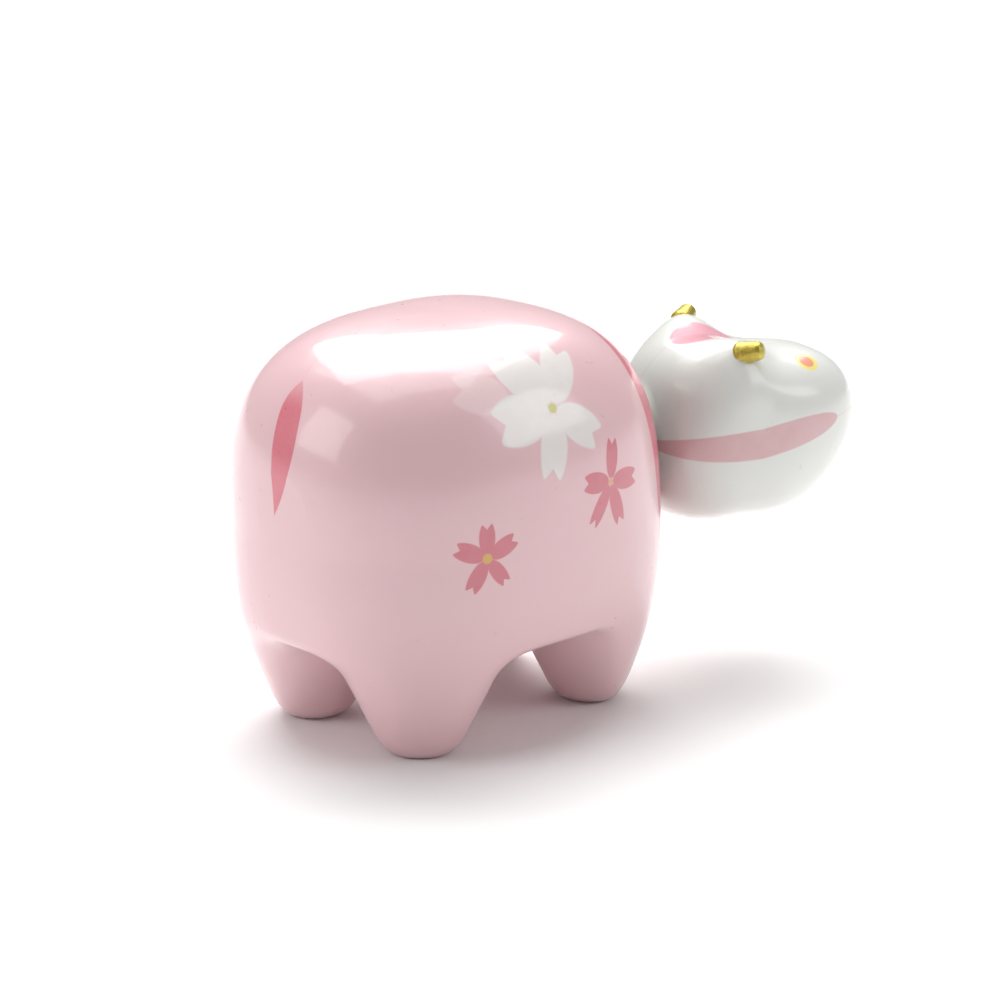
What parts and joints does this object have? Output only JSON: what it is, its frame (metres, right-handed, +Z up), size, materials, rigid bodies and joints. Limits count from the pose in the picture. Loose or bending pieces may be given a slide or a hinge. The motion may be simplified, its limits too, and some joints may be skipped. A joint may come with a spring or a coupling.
{
  "type": "nodding ox figurine",
  "caption": "Hollow pasted-paper ox on four stubby legs whose separate head hangs on a thread in the chest opening and nods and turns.",
  "frame": {"origin": "on the floor, under the middle of the whole toy's bounding box", "axes": "+X the way the body faces, +Y the body's left side, +Z up"},
  "size_m": [0.152, 0.0794, 0.092],
  "materials": {
    "pink_lacquered_paper": "gloss lacquer, pale pink, painted blossoms",
    "white_lacquered_paper": "gloss lacquer, white, painted eyes and mouth",
    "rim_paper": "gloss lacquer, deep pink",
    "raw_paper": "matt, unpainted",
    "bamboo": "matt",
    "thread": "matt",
    "clay": "matt, unfired",
    "gold_wood": "gold paint"
  },
  "bodies": {
    "body": {"body_shell_left": "pink_lacquered_paper", "body_shell_right": "pink_lacquered_paper", "rim_binding": "rim_paper", "body_seam_strip": "raw_paper", "thread_bar": "bamboo", "bar_patch_left": "raw_paper", "bar_patch_right": "raw_paper"},
    "thread": {"hanging_thread": "thread"},
    "tie": {"thread_tie": "thread"},
    "head": {"head_shell_left": "white_lacquered_paper", "head_shell_right": "white_lacquered_paper", "head_seam_strip": "raw_paper", "neck_tube": "white_lacquered_paper", "neck_pin": "bamboo", "neck_collar": "white_lacquered_paper", "neck_cap": "raw_paper", "clay_weight": "clay", "horn_left": "gold_wood", "horn_right": "gold_wood"}
  },
  "joints": [
    {"name": "thread_swing", "type": "hinge", "parent": "body", "child": "thread", "pos_m": [0.00424, 0, 0.07998], "axis": [0, 1, 0], "range_deg": [-2, 2]},
    {"name": "head_turn", "type": "hinge", "parent": "thread", "child": "tie", "pos_m": [0.00424, 0, 0.06138], "axis": [0, 0, 1], "range_deg": [-6, 48]},
    {"name": "head_nod", "type": "hinge", "parent": "tie", "child": "head", "pos_m": [0.00424, 0, 0.0589], "axis": [0.3584, 0.9336, 0], "range_deg": [-8, 8]}
  ]
}
